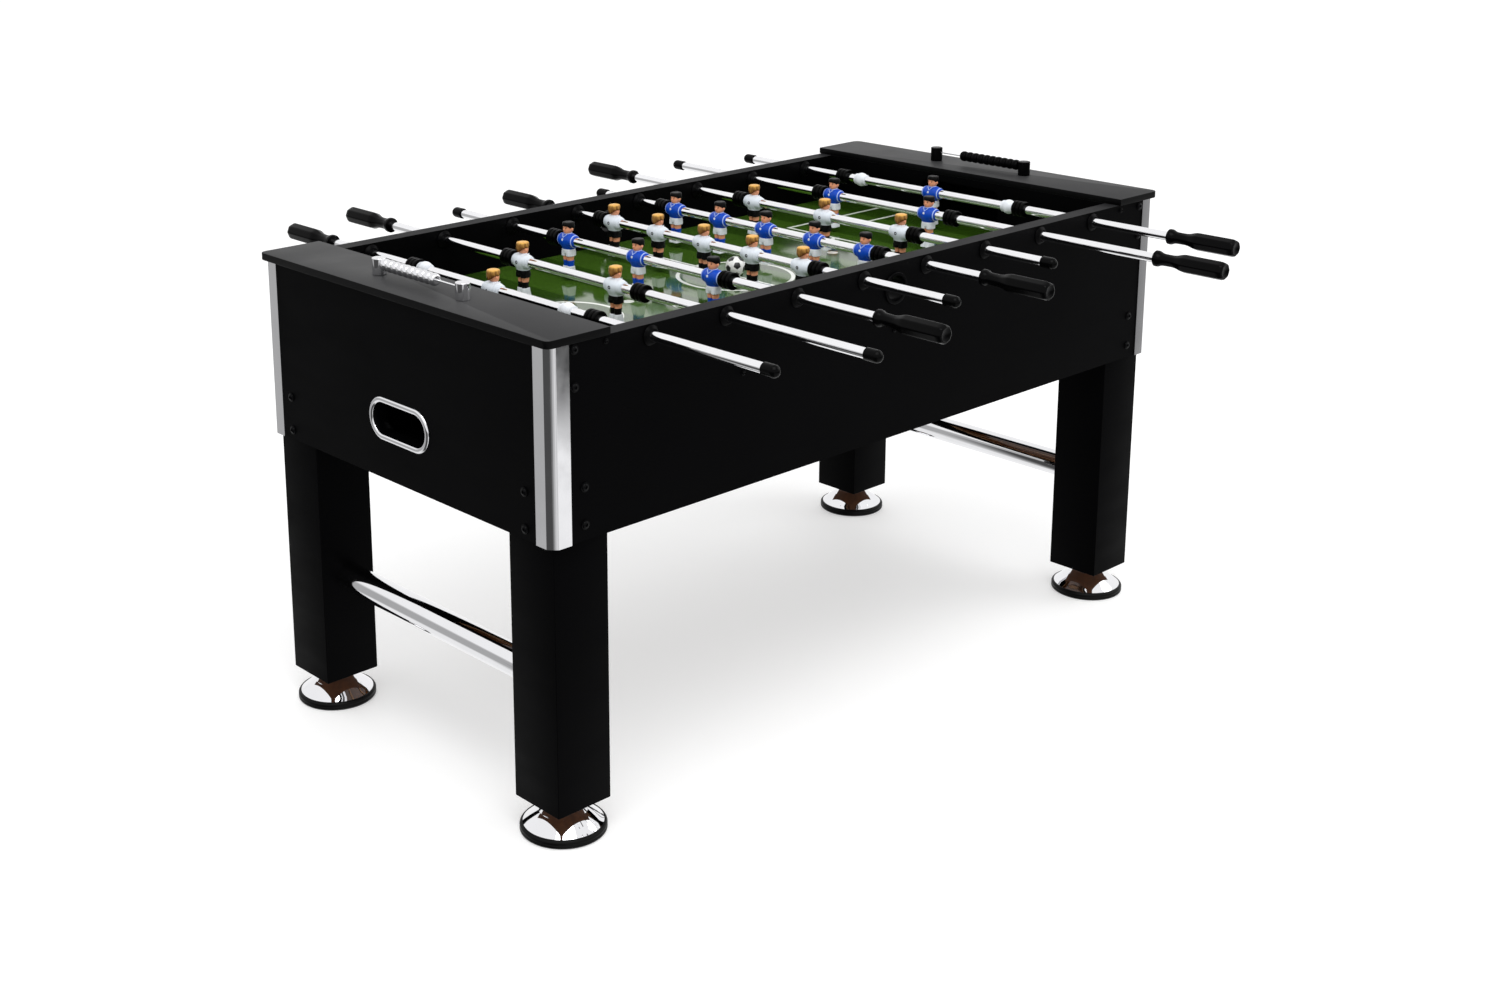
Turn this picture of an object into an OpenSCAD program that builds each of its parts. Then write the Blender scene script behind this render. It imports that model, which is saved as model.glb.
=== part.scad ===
// Foosball table: cabinet, four legs, eight sliding and spinning rods with
// twenty-two men, two bead scorers, four screw feet and a ball.
// Millimetres, +Z up, origin on the floor under the middle of the cabinet.
// X runs along the table, rods run along Y, the near long side is -Y.

/* [Cabinet] */
// Length over the two top boards
table_len = 1474; // [1200:1:1600]
// Height of the top boards above the floor
table_h = 793; // [700:1:920]
// Length of the cabinet box over the end panels
cab_len = 1460; // [1180:1:1590]
// Width of the cabinet box over the side panels
cab_w = 734; // [600:1:800]
// Thickness of the side panels
panel_t = 30; // [18:1:40]
// Thickness of the end panels
end_t = 24; // [12:1:30]
// Height of the lower edge of the panels
panel_z = 483; // [400:1:560]
// Thickness of the top boards
board_t = 12; // [9:1:25]
// Width of each top board along the table
board_w = 117; // [80:1:160]
// Overhang of the top boards past the side panels
board_over = 4; // [0:1:20]
// Thickness of the two goal walls
goal_t = 12; // [9:1:18]
// Width of the goal mouth
goal_w = 190; // [160:1:220]
// Height of the goal mouth
goal_h = 76; // [60:1:85]
// Height of the playing surface
field_z = 691; // [620:1:820]
// Thickness of the playing surface
field_t = 12; // [6:1:18]
// Depth of the battens under the playing surface
batten_h = 24; // [16:1:40]

/* [Legs and feet] */
// Width of the square legs
leg_w = 102; // [70:1:120]
// How far the leg faces sit behind the panel faces
leg_in = 10; // [6:1:14]
// Height of the leg bottoms above the floor
leg_z = 53; // [45:1:80]
// Height of the leg tops inside the cabinet
leg_top = 598; // [540:1:640]
// Wall of the hollow legs
leg_wall = 12; // [6:1:16]
// Diameter of the round cross bars
bar_d = 48; // [30:1:60]
// Height of the cross bars
bar_z = 237; // [150:1:350]
// Diameter of the feet
foot_d = 134; // [60:1:140]
// Height of the rubber ring of a foot
foot_rubber_h = 14; // [6:1:20]
// Diameter of the foot studs
stud_d = 12; // [8:1:16]

/* [Rods] */
// Height of the rod axes
rod_z = 763; // [690:1:880]
// Spacing of the rods along the table
rod_pitch = 154; // [140:1:160]
// Diameter of the rods
rod_d = 15.9; // [12:0.1:18]
// Running clearance on the rod radius
run_gap = 0.05; // [0.02:0.01:0.1]
// Length of a rubber bumper
bumper_l = 26; // [15:1:40]
// Diameter of a rubber bumper
bumper_d = 29; // [24:1:36]
// Length of a handle
handle_l = 130; // [100:1:160]
// Diameter across the flats of a handle grip
grip_d = 29; // [24:1:36]
// Length of the rod end caps
cap_l = 28; // [15:1:40]
// Diameter of the rod bush holes in the side panels
bush_d = 24; // [20:1:30]
// Diameter of the bush flanges
bush_flange_d = 32; // [28:1:34]
// Thickness of the bush flanges
bush_flange_t = 6; // [3:1:8]

/* [Men] */
// Height of a man's head above the rod axis
man_top = 33; // [28:1:40]
// Depth of a man's soles below the rod axis
man_sole = 62; // [55:1:66]
// Width of a man across the sleeves
man_w = 40; // [30:1:46]
// Diameter of a goalkeeper's stop collar
collar_d = 27; // [22:1:32]

/* [Ball and goals] */
// Diameter of the ball
ball_d = 35; // [32:0.5:38]
// Diameter of the ball entry holes
entry_d = 43; // [38:1:50]
// Height of the ball entry holes
entry_z = 737; // [715:1:745]
// Width of the ball return opening
return_w = 142; // [100:1:160]
// Height of the ball return opening
return_h = 57; // [45:1:70]
// Height of the middle of the ball return opening
return_z = 582; // [560:1:640]

/* [Trims and scorers] */
// Width of a trim flange from the corner
trim_w = 35; // [20:1:50]
// Chamfer of the cabinet corners under the trims
trim_c = 12; // [6:1:16]
// Thickness of the trims
trim_t = 1.5; // [1:0.1:3]
// Distance between the scorer posts
score_span = 216; // [160:1:260]
// Height of the scorer posts
score_h = 27; // [24:1:50]
// Height of the bead wire above the board
score_wire_z = 18; // [14:1:30]
// Diameter of a scoring bead
bead_d = 20; // [12:1:24]
// Thickness of a scoring bead
bead_t = 14; // [8:0.5:16]

/* [Hidden] */
$fn = 48;
hx = cab_len / 2;
hy = cab_w / 2;
inner_y = hy - panel_t;
panel_top = table_h - board_t;
board_x = table_len / 2 - board_w;
goal_x = board_x;
leg_x = hx - leg_in - leg_w / 2;
leg_y = hy - leg_in - leg_w / 2;
rod_r = rod_d / 2;
wall_out = hy + bush_flange_t;
score_x = table_len / 2 - board_w / 2 + 2;
post_d = 23;
beads = 10;
cleat = 36;
nut_h = 10;
dome_wall = 3;
dome_h = leg_z - foot_rubber_h - nut_h;
stud_l = 50;
leg_base = 20;
cup_wall = 3;
cup_half = return_w / 2 + 13;
cup_z = return_z - return_h / 2 - 5;
bolt_r = 3;
screw_r = 1.6;
joint_bolt_x = hx - 45;
joint_bolt_z = [panel_top - 10, panel_top - 65];
side_leg_bolt_z = [leg_top - 34, leg_top - 91];
end_leg_bolt_z = [leg_top - 42, leg_top - 99];
field_screw_z = field_z - field_t - batten_h / 2;
field_screw_x = [-350, 0, 350];
goal_screw_x = goal_x + goal_t / 2;
goal_screw_z = panel_top - 9;
keeper_collar_y = 182;
collar_l = 26;
outer_gap = 1;
rib_pitch = 8.5;
rib_w = 6;
boot_top = -man_sole + 13;
toe = 15;
heel = -9;
tube_wall = 2;
grip_solid = 30;
cap_solid = 8;

// One row per rod: places of the men, facing, side of the handle, distance from the
// middle to the inner end of the handle and of the end cap, near and far bumper.
beside = outer_gap + man_w / 2 + bumper_l / 2;
rods = [
    [[0], 1, 1, 452, 594, -244, keeper_collar_y + collar_l / 2 + bumper_l / 2 + outer_gap],
    [[-117, 117], 1, 1, 495, 643, -177, 117 + beside],
    [[-181, 0, 181], -1, -1, 529, 484, -181 - beside, 181 + beside],
    [[-234, -117, 0, 117, 234], 1, 1, 417, 532, -234 - beside, 234 + beside],
    [[-234, -117, 0, 117, 234], -1, -1, 484, 428, -234 - beside, 234 + beside],
    [[-181, 0, 181], 1, 1, 520, 486, -181 - beside, 181 + beside],
    [[-117, 117], -1, -1, 601, 537, -172, 117 + beside],
    [[0], -1, -1, 527, 482, -keeper_collar_y - collar_l / 2 - bumper_l / 2 - outer_gap, 228]
];
MEN = 0;
FACING = 1;
SIDE = 2;
HANDLE = 3;
CAP = 4;
BUMPERS = [5, 6];

ROD_PARTS = ["tube", "men", "bumpers", "handle"];

function rod_x(i) = (i - 3.5) * rod_pitch;
function is_keeper(i) = len(rods[i][MEN]) == 1;

// ---- helpers ----

// Box between two corners.
module block(a, b) {
    translate([min(a.x, b.x), min(a.y, b.y), min(a.z, b.z)])
        cube([abs(b.x - a.x), abs(b.y - a.y), abs(b.z - a.z)]);
}

// Round bar along Y from y0 to y1 at (x, z).
module bar_y(x, z, y0, y1, r) {
    translate([x, min(y0, y1), z]) rotate([-90, 0, 0]) cylinder(h = abs(y1 - y0), r = r);
}

// Round bar along X from x0 to x1 at (y, z).
module bar_x(y, z, x0, x1, r) {
    translate([min(x0, x1), y, z]) rotate([0, 90, 0]) cylinder(h = abs(x1 - x0), r = r);
}

// Rectangle with round ends, w wide and h high.
module slot2d(w, h) {
    square([w - h, h], center = true);
    for (s = [-1, 1]) translate([s * (w - h) / 2, 0]) circle(d = h);
}

// Upright slot prism along X, centred on y = 0, from x0 to x1.
module slot_x(z, x0, x1, w, h) {
    translate([min(x0, x1), 0, z]) rotate([90, 0, 90]) linear_extrude(abs(x1 - x0)) slot2d(w, h);
}

// Places the children at the eight rods on both walls.
module at_bushes() {
    for (i = [0:7], s = [-1, 1]) translate([rod_x(i), 0, rod_z]) scale([1, s, 1]) children();
}

// ---- cabinet ----

// Face of a side panel with all the holes that go through it, x to the right, z up.
module side_panel_face() {
    difference() {
        translate([-hx, panel_z]) square([cab_len, panel_top - panel_z]);
        for (sx = [-1, 1]) {
            for (z = joint_bolt_z) translate([sx * joint_bolt_x, z]) circle(r = bolt_r);
            for (z = side_leg_bolt_z) translate([sx * leg_x, z]) circle(r = bolt_r);
            translate([sx * goal_screw_x, goal_screw_z]) circle(r = screw_r);
        }
        for (x = field_screw_x) translate([x, field_screw_z]) circle(r = screw_r);
        for (i = [0:7]) translate([rod_x(i), rod_z]) circle(d = bush_d);
        translate([0, entry_z]) circle(r = entry_d / 2 + 2.5);
    }
}

// Near (s = -1) or far (s = 1) side panel with its leg pockets and chamfered ends.
module side_panel(s) {
    color([0.05, 0.05, 0.055]) difference() {
        translate([0, s > 0 ? hy : -inner_y, 0]) rotate([90, 0, 0]) linear_extrude(panel_t) side_panel_face();
        for (sx = [-1, 1]) {
            block([sx * (leg_x - leg_w / 2), s * (inner_y - 1), panel_z - 1],
                  [sx * (leg_x + leg_w / 2), s * (hy - leg_in), leg_top]);
            scale([sx, s, 1]) translate([0, 0, panel_z - 1]) linear_extrude(panel_top - panel_z + 2)
                polygon([[hx - trim_c - 1, hy + 1], [hx + 1, hy - trim_c - 1], [hx + 1, hy + 1]]);
        }
    }
}

// Left (s = -1) or right (s = 1) end panel with its glued corner cleats.
module end_panel(s) {
    color([0.05, 0.05, 0.055]) difference() {
        union() {
            block([s * (hx - end_t), -inner_y, panel_z], [s * hx, inner_y, panel_top]);
            for (t = [-1, 1])
                block([s * (hx - end_t - cleat), t * (inner_y - cleat), leg_top],
                      [s * (hx - end_t + 1), t * inner_y, panel_top]);
        }
        for (t = [-1, 1]) {
            block([s * (hx - end_t - 1), t * (leg_y - leg_w / 2), panel_z - 1],
                  [s * (hx - leg_in), t * (inner_y + 1), leg_top]);
            for (z = joint_bolt_z) bar_y(s * joint_bolt_x, z, t * (inner_y + 1), t * (inner_y - 20), bolt_r);
            for (z = end_leg_bolt_z) bar_x(t * leg_y, z, s * (hx - leg_in - 1), s * (hx + 1), bolt_r);
        }
        slot_x(return_z, s * (hx - end_t - 1), s * (hx + 1), return_w, return_h);
    }
}

// Top board over one end, outer corners rounded, bored for the scorer studs.
module top_board(s) {
    r = 10;
    x0 = s * board_x;
    x1 = s * table_len / 2;
    y1 = hy + board_over;
    color([0.24, 0.24, 0.25]) translate([0, 0, panel_top]) difference() {
        linear_extrude(board_t) union() {
            translate([min(x0, x1 - s * r), -y1]) square([abs(x1 - s * r - x0), 2 * y1]);
            translate([min(x0, x1), -y1 + r]) square([abs(x1 - x0), 2 * y1 - 2 * r]);
            for (t = [-1, 1]) translate([x1 - s * r, t * (y1 - r)]) circle(r = r);
        }
        for (t = [-1, 1]) translate([s * score_x, t * score_span / 2, -1]) cylinder(h = board_t + 2, r = 2);
    }
}

// Playing surface between the goal walls.
module playfield() {
    color([0.16, 0.42, 0.13])
        block([-goal_x, -inner_y, field_z - field_t], [goal_x, inner_y, field_z]);
}

// Ladder of battens that carries the playing surface.
module playfield_battens() {
    z0 = field_z - field_t - batten_h;
    color([0.62, 0.5, 0.34]) difference() {
        union() {
            for (s = [-1, 1])
                block([-goal_x + 10, s * (inner_y - 20), z0], [goal_x - 10, s * inner_y, z0 + batten_h]);
            for (x = [-430, 0, 430])
                block([x - 20, -inner_y + 19, z0], [x + 20, inner_y - 19, z0 + batten_h]);
        }
        for (s = [-1, 1], x = field_screw_x)
            bar_y(x, field_screw_z, s * (inner_y + 1), s * (hy - 42), screw_r);
    }
}

// Goal walls with a round-cornered mouth at each end of the field.
module goal_walls() {
    r = 14;
    color([0.05, 0.05, 0.055]) for (s = [-1, 1]) difference() {
        block([s * goal_x, -inner_y, field_z - field_t - batten_h],
              [s * (goal_x + goal_t), inner_y, panel_top]);
        translate([min(s * goal_x, s * (goal_x + goal_t)) - 1, 0, field_z])
            rotate([90, 0, 90]) linear_extrude(goal_t + 2) union() {
                translate([-goal_w / 2, 0]) square([goal_w, goal_h - r]);
                translate([-goal_w / 2 + r, 0]) square([goal_w - 2 * r, goal_h]);
                for (t = [-1, 1]) translate([t * (goal_w / 2 - r), goal_h - r]) circle(r = r);
            }
        for (t = [-1, 1]) bar_y(s * goal_screw_x, goal_screw_z, t * (inner_y + 1), t * (hy - 42), screw_r);
    }
}

// Chrome trims folded round the four chamfered corners.
module corner_trims() {
    k = trim_t * tan(22.5);
    color([0.78, 0.78, 0.8]) for (sx = [-1, 1], sy = [-1, 1]) scale([sx, sy, 1])
        translate([0, 0, panel_z - 1]) linear_extrude(panel_top - panel_z + 1) polygon([
            [hx - trim_w, hy], [hx - trim_c, hy], [hx, hy - trim_c], [hx, hy - trim_w],
            [hx + trim_t, hy - trim_w], [hx + trim_t, hy - trim_c + k],
            [hx - trim_c + k, hy + trim_t], [hx - trim_w, hy + trim_t]]);
}

// ---- legs and feet ----

// Hollow square leg at corner (sx, sy).
module leg(sx, sy) {
    color([0.04, 0.04, 0.045]) difference() {
        translate([sx * leg_x - leg_w / 2, sy * leg_y - leg_w / 2, leg_z])
            cube([leg_w, leg_w, leg_top - leg_z]);
        translate([sx * leg_x - leg_w / 2 + leg_wall, sy * leg_y - leg_w / 2 + leg_wall, leg_z + leg_base])
            cube([leg_w - 2 * leg_wall, leg_w - 2 * leg_wall, leg_top - leg_z - leg_base - leg_wall]);
        translate([sx * leg_x, sy * leg_y, leg_z - 1]) cylinder(h = leg_base + 2, r = stud_d / 2 + run_gap);
        for (z = side_leg_bolt_z) bar_y(sx * leg_x, z, sy * (hy - leg_in - leg_wall - 1), sy * hy, bolt_r);
        for (z = end_leg_bolt_z) bar_x(sy * leg_y, z, sx * (hx - leg_in - leg_wall - 1), sx * hx, bolt_r);
    }
}

// Round chrome tube between the two legs of each end.
module leg_cross_bars() {
    y1 = leg_y - leg_w / 2;
    color([0.8, 0.8, 0.82]) for (s = [-1, 1]) difference() {
        bar_y(s * leg_x, bar_z, -y1, y1, bar_d / 2);
        bar_y(s * leg_x, bar_z, -y1 - 1, y1 + 1, bar_d / 2 - 2);
    }
}

// Outline of the foot dome, inset by w, from its rim up to its flat top.
function dome(w) = [for (k = [0:7]) let (u = k / 7)
    [16 + (foot_d / 2 - 21 - w) * (1 - u), (dome_h - w) * (1 - pow(1 - u, 1.35))]];

// Screw foot under corner (sx, sy): rubber ring, hollow chrome dome, nut and stud.
module leveller(sx, sy) {
    r = foot_d / 2;
    h = foot_rubber_h;
    translate([sx * leg_x, sy * leg_y, 0]) {
        color([0.03, 0.03, 0.03]) rotate_extrude() polygon([
            [r - 25, 0], [r - 3, 0], [r, 3], [r, h - 4], [r - 2, h], [r - 25, h]]);
        color([0.8, 0.8, 0.82]) {
            translate([0, 0, h]) rotate_extrude() polygon(concat(dome(0),
                [[0, dome_h], [0, dome_h - dome_wall]], [for (k = [7:-1:0]) dome(dome_wall)[k]]));
            translate([0, 0, leg_z - nut_h]) cylinder(h = nut_h, r = 11, $fn = 6);
            translate([0, 0, leg_z - nut_h - dome_wall]) cylinder(h = stud_l, r = stud_d / 2);
        }
    }
}

// ---- bought-in cabinet parts ----

// Flanged plastic bushes, one per rod and wall.
module rod_bearings() {
    color([0.03, 0.03, 0.03]) at_bushes() difference() {
        union() {
            bar_y(0, 0, inner_y, hy, bush_d / 2);
            bar_y(0, 0, inner_y - bush_flange_t, inner_y, bush_flange_d / 2);
            bar_y(0, 0, hy, hy + bush_flange_t, bush_flange_d / 2);
        }
        bar_y(0, 0, inner_y - bush_flange_t - 1, hy + bush_flange_t + 1, rod_r + run_gap);
    }
}

// Trays behind the goals that hold the ball at the return opening.
module ball_return_cups() {
    z1 = field_z - 4;
    xa = goal_x + goal_t;
    xb = hx - end_t;
    color([0.04, 0.04, 0.04]) for (s = [-1, 1]) difference() {
        block([s * xa, -cup_half, cup_z - cup_wall], [s * xb, cup_half, z1]);
        block([s * (xa + cup_wall), -cup_half + cup_wall, cup_z],
              [s * (xb - cup_wall), cup_half - cup_wall, z1 + 1]);
        slot_x(return_z, s * (xb - cup_wall - 1), s * (xb + 1), return_w, return_h);
    }
}

// Chrome rims that line the return openings.
module ball_return_rims() {
    color([0.8, 0.8, 0.82]) for (s = [-1, 1]) difference() {
        union() {
            slot_x(return_z, s * (hx - end_t), s * (hx + 1), return_w, return_h);
            slot_x(return_z, s * hx, s * (hx + 3), return_w + 14, return_h + 14);
        }
        slot_x(return_z, s * (hx - end_t - 1), s * (hx + 4), return_w - 5, return_h - 5);
    }
}

// Flanged sleeves that line the ball entry holes.
module ball_entry_cups() {
    color([0.03, 0.03, 0.03]) for (s = [-1, 1]) scale([1, s, 1]) difference() {
        union() {
            bar_y(0, entry_z, inner_y, hy + 1, entry_d / 2 + 2.5);
            bar_y(0, entry_z, hy, hy + 3, entry_d / 2 + 6);
        }
        bar_y(0, entry_z, inner_y - 1, hy + 4, entry_d / 2);
    }
}

// Washer, domed head and shank, pointing inwards along -Y from y = 0.
module bolt(l, r, head) {
    rotate([90, 0, 0]) cylinder(h = l, r = r);
    rotate([-90, 0, 0]) cylinder(h = 1.5, r = head + 1.5);
    translate([0, 1.5, 0]) rotate([-90, 0, 0]) cylinder(h = 3, r1 = head, r2 = head - 1.5);
}

// All bolts and screws of the cabinet.
module cabinet_fasteners() {
    color([0.1, 0.1, 0.1]) for (sx = [-1, 1], sy = [-1, 1]) scale([sx, sy, 1]) {
        for (z = joint_bolt_z) translate([joint_bolt_x, hy, z]) bolt(50, bolt_r, 6);
        for (z = side_leg_bolt_z) translate([leg_x, hy, z]) bolt(leg_in + leg_wall, bolt_r, 6);
        for (z = end_leg_bolt_z) translate([hx, leg_y, z]) rotate([0, 0, -90])
            bolt(leg_in + leg_wall, bolt_r, 6);
        translate([goal_screw_x, hy, goal_screw_z]) bolt(42, screw_r, 3);
        translate([field_screw_x[2], hy, field_screw_z]) bolt(42, screw_r, 3);
    }
    color([0.1, 0.1, 0.1]) for (sy = [-1, 1]) scale([1, sy, 1])
        translate([0, hy, field_screw_z]) bolt(42, screw_r, 3);
}

// ---- scorers ----

// Two posts and the bead wire on one top board.
module scorer_frame(s) {
    wire_z = table_h + score_wire_z;
    color(s < 0 ? [0.8, 0.8, 0.82] : [0.05, 0.05, 0.05]) translate([s * score_x, 0, 0]) {
        for (t = [-1, 1]) translate([0, t * score_span / 2, table_h]) {
            cylinder(h = score_h - 1, r = post_d / 2);
            translate([0, 0, score_h - 1]) cylinder(h = 1, r1 = post_d / 2, r2 = post_d / 2 - 1);
            translate([0, 0, -board_t + 1]) cylinder(h = board_t, r = 2);
        }
        bar_y(0, wire_z, -score_span / 2, score_span / 2, 1.6);
    }
}
module scorer_frames() for (s = [-1, 1]) scorer_frame(s);

// Ten beads pushed against the far (t = 1) or near (t = -1) post.
module scorer_beads(s, t) {
    first = score_span / 2 - post_d / 2 - 0.5;
    color([0.04, 0.04, 0.04]) for (k = [0 : beads - 1]) {
        y0 = t * (first - k * bead_t - 0.02);
        y1 = t * (first - (k + 1) * bead_t + 0.02);
        difference() {
            translate([s * score_x, min(y0, y1), table_h + score_wire_z]) rotate([-90, 0, 0])
                rotate_extrude() polygon([
                    [0, 0], [bead_d / 2 - 2.5, 0], [bead_d / 2, 4], [bead_d / 2, bead_t - 4.04],
                    [bead_d / 2 - 2.5, bead_t - 0.04], [0, bead_t - 0.04]]);
            bar_y(s * score_x, table_h + score_wire_z, y0 + t, y1 - t, 1.65);
        }
    }
}

// ---- ball ----

module ball() color([0.95, 0.95, 0.93]) translate([0, 0, field_z + ball_d / 2]) sphere(d = ball_d);

// ---- rods ----

// Steel tube of rod i, from inside the handle to inside the end cap.
module rod_tube(i) {
    h = rods[i][SIDE];
    y0 = h * (rods[i][HANDLE] + handle_l - grip_solid);
    y1 = -h * (rods[i][CAP] + cap_l - cap_solid);
    color([0.82, 0.82, 0.84]) difference() {
        bar_y(rod_x(i), rod_z, y0, y1, rod_r);
        bar_y(rod_x(i), rod_z, y0 + h, y1 - h, rod_r - tube_wall);
    }
}

// Screw that pins a man or a collar to the rod, in the back at x = -back.
module pin_hole(back) {
    translate([-back - 1, 0, 0]) rotate([0, 90, 0]) cylinder(h = back, r = 3);
}
module pin_screw(back) {
    difference() {
        translate([-back + 1.2, 0, 0]) rotate([0, 90, 0]) cylinder(h = back - 2, r = 3);
        bar_y(0, 0, -4, 4, rod_r);
    }
}

// One man round the rod axis, facing +X or -X by f.
module man(f) {
    scale([f, 1, 1]) {
        difference() {
            union() {
                bar_y(0, 0, -man_w / 2, man_w / 2, 10);
                sphere(r = 15);
                translate([-10, -13.5, -19]) cube([20, 27, 19]);
                translate([-11, -14, -31]) cube([22, 28, 13]);
                for (t = [-1, 1]) translate([0, t * 7, boot_top - 1]) {
                    cylinder(h = 13, r = 6);
                    cylinder(h = -boot_top - 20, r = 5.2);
                }
                translate([0, 14, 0]) rotate([90, 0, 0]) linear_extrude(28) polygon([
                    [heel, boot_top], [7, boot_top], [toe, -man_sole + 5],
                    [toe, -man_sole], [heel, -man_sole]]);
                translate([0, 0, 8]) cylinder(h = 8, r = 6);
                translate([-0.3, 0, man_top - 11]) sphere(r = 11);
            }
            bar_y(0, 0, -man_w / 2 - 1, man_w / 2 + 1, rod_r);
            pin_hole(15);
        }
        pin_screw(15);
    }
}

// Stop collar of a goalkeeper rod, centred on the rod axis.
module collar(f) {
    scale([f, 1, 1]) {
        difference() {
            union() {
                bar_y(0, 0, -collar_l / 2, collar_l / 2, 11);
                sphere(d = collar_d);
            }
            bar_y(0, 0, -collar_l / 2 - 1, collar_l / 2 + 1, rod_r);
            pin_hole(collar_d / 2);
        }
        pin_screw(collar_d / 2);
    }
}

// The men of rod i, with the stop collars of the goalkeeper rods.
module rod_men(i) {
    f = rods[i][FACING];
    color(f > 0 ? [0.9, 0.9, 0.9] : [0.1, 0.2, 0.75]) translate([rod_x(i), 0, rod_z]) {
        for (y = rods[i][MEN]) translate([0, y, 0]) man(f);
        if (is_keeper(i)) for (t = [-1, 1]) translate([0, t * keeper_collar_y, 0]) collar(f);
    }
}

// The two ribbed rubber bumpers of rod i.
module rod_bumpers(i) {
    color([0.03, 0.03, 0.03]) for (b = BUMPERS) translate([rod_x(i), rods[i][b], rod_z]) difference() {
        union() {
            bar_y(0, 0, -bumper_l / 2, bumper_l / 2, bumper_d / 2 - 2.5);
            for (k = [-1, 0, 1])
                bar_y(0, 0, k * rib_pitch - rib_w / 2, k * rib_pitch + rib_w / 2, bumper_d / 2);
        }
        bar_y(0, 0, -bumper_l, bumper_l, rod_r + run_gap);
    }
}

// Grip with its flange and neck, from z = 0 up, bored for the rod.
module grip() {
    neck_r = 10;
    flange_r = 13.5;
    difference() {
        union() {
            cylinder(h = 5, r = flange_r);
            translate([0, 0, 5]) cylinder(h = 11, r1 = flange_r, r2 = neck_r);
            cylinder(h = handle_l * 0.4, r = neck_r);
            translate([0, 0, handle_l * 0.3]) cylinder(h = handle_l * 0.12, r1 = neck_r, r2 = grip_d / 2);
            translate([0, 0, handle_l * 0.42]) rotate([0, 0, 22.5])
                cylinder(h = handle_l * 0.58 - 3, r = grip_d / 2 / cos(22.5), $fn = 8);
            translate([0, 0, handle_l - 4]) cylinder(h = 4, r = grip_d / 2 - 2);
        }
        translate([0, 0, -1]) cylinder(h = handle_l - grip_solid + 1, r = rod_r);
    }
}

// End cap from z = 0 up, bored for the rod.
module end_cap() {
    r = 9.6;
    difference() {
        union() {
            cylinder(h = cap_l - r, r = r);
            translate([0, 0, cap_l - r]) sphere(r = r);
        }
        translate([0, 0, -1]) cylinder(h = cap_l - cap_solid + 1, r = rod_r);
    }
}

// Handle on one end of rod i and the cap on the other.
module rod_handle(i) {
    h = rods[i][SIDE];
    color([0.03, 0.03, 0.03]) {
        translate([rod_x(i), h * rods[i][HANDLE], rod_z]) rotate([-90 * h, 0, 0]) grip();
        translate([rod_x(i), -h * rods[i][CAP], rod_z]) rotate([90 * h, 0, 0]) end_cap();
    }
}

side_panel(-1);  // side_panel_near
side_panel(1);  // side_panel_far
end_panel(-1);  // end_panel_left
end_panel(1);  // end_panel_right
top_board(-1);  // top_board_left
top_board(1);  // top_board_right
playfield();
playfield_battens();
corner_trims();
leg(-1, -1);  // leg_near_left
leg(1, -1);  // leg_near_right
leg(-1, 1);  // leg_far_left
leg(1, 1);  // leg_far_right
leg_cross_bars();
rod_bearings();
goal_walls();
ball_return_cups();
ball_return_rims();
ball_entry_cups();
cabinet_fasteners();
scorer_frames();
scorer_beads(-1, 1);  // scorer_beads_left
scorer_beads(1, -1);  // scorer_beads_right
leveller(-1, -1);  // leveller_near_left
leveller(1, -1);  // leveller_near_right
leveller(-1, 1);  // leveller_far_left
leveller(1, 1);  // leveller_far_right
ball();
for (i = [0:7]) {
    rod_tube(i);
    rod_men(i);
    rod_bumpers(i);
    rod_handle(i);
}
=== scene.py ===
import math

import bmesh
import bpy
from mathutils import Matrix, Vector


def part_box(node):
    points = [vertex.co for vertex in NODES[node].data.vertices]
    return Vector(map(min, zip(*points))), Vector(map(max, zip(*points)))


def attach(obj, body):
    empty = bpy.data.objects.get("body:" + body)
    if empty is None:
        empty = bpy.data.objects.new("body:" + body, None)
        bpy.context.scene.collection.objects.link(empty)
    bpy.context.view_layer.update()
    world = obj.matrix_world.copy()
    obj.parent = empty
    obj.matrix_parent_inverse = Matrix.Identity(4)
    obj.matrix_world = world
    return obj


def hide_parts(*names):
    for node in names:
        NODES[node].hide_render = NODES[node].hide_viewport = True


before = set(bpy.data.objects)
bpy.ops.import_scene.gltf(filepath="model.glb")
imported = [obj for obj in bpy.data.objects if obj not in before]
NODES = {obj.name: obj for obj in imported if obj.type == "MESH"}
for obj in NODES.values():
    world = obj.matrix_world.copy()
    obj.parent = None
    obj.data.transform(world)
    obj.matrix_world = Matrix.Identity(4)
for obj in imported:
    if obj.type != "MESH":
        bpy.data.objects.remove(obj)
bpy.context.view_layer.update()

MM = 0.001
TAU = 2 * math.pi
RODS = range(1, 9)
MEN_ON_ROD = {1: 1, 2: 2, 3: 3, 4: 5, 5: 5, 6: 3, 7: 2, 8: 1}
WHITE_RODS = (1, 2, 4, 6)
HANDLE_FAR = (1, 2, 4, 6)
MAN_W = 40 * MM
COLLAR_L = 26 * MM
BUMPER_L = 26 * MM
HANDLE_L = 130 * MM
CAP_L = 28 * MM
BEADS = 10
BOLT_R, SCREW_R = 6, 3
JOINT_BOLTS = (10 * MM, 65 * MM)
LEG_SIDE_BOLTS = (34 * MM, 91 * MM)
LEG_END_BOLTS = (42 * MM, 99 * MM)
FIELD_SCREWS = (-350 * MM, 0, 350 * MM)
CORNERS = ("near_left", "near_right", "far_left", "far_right")


# ---------------------------------------------------------------- measures from the frame

def centre(node):
    """Middle of a CAD node's box."""
    lo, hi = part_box(node)
    return (lo + hi) / 2


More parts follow.
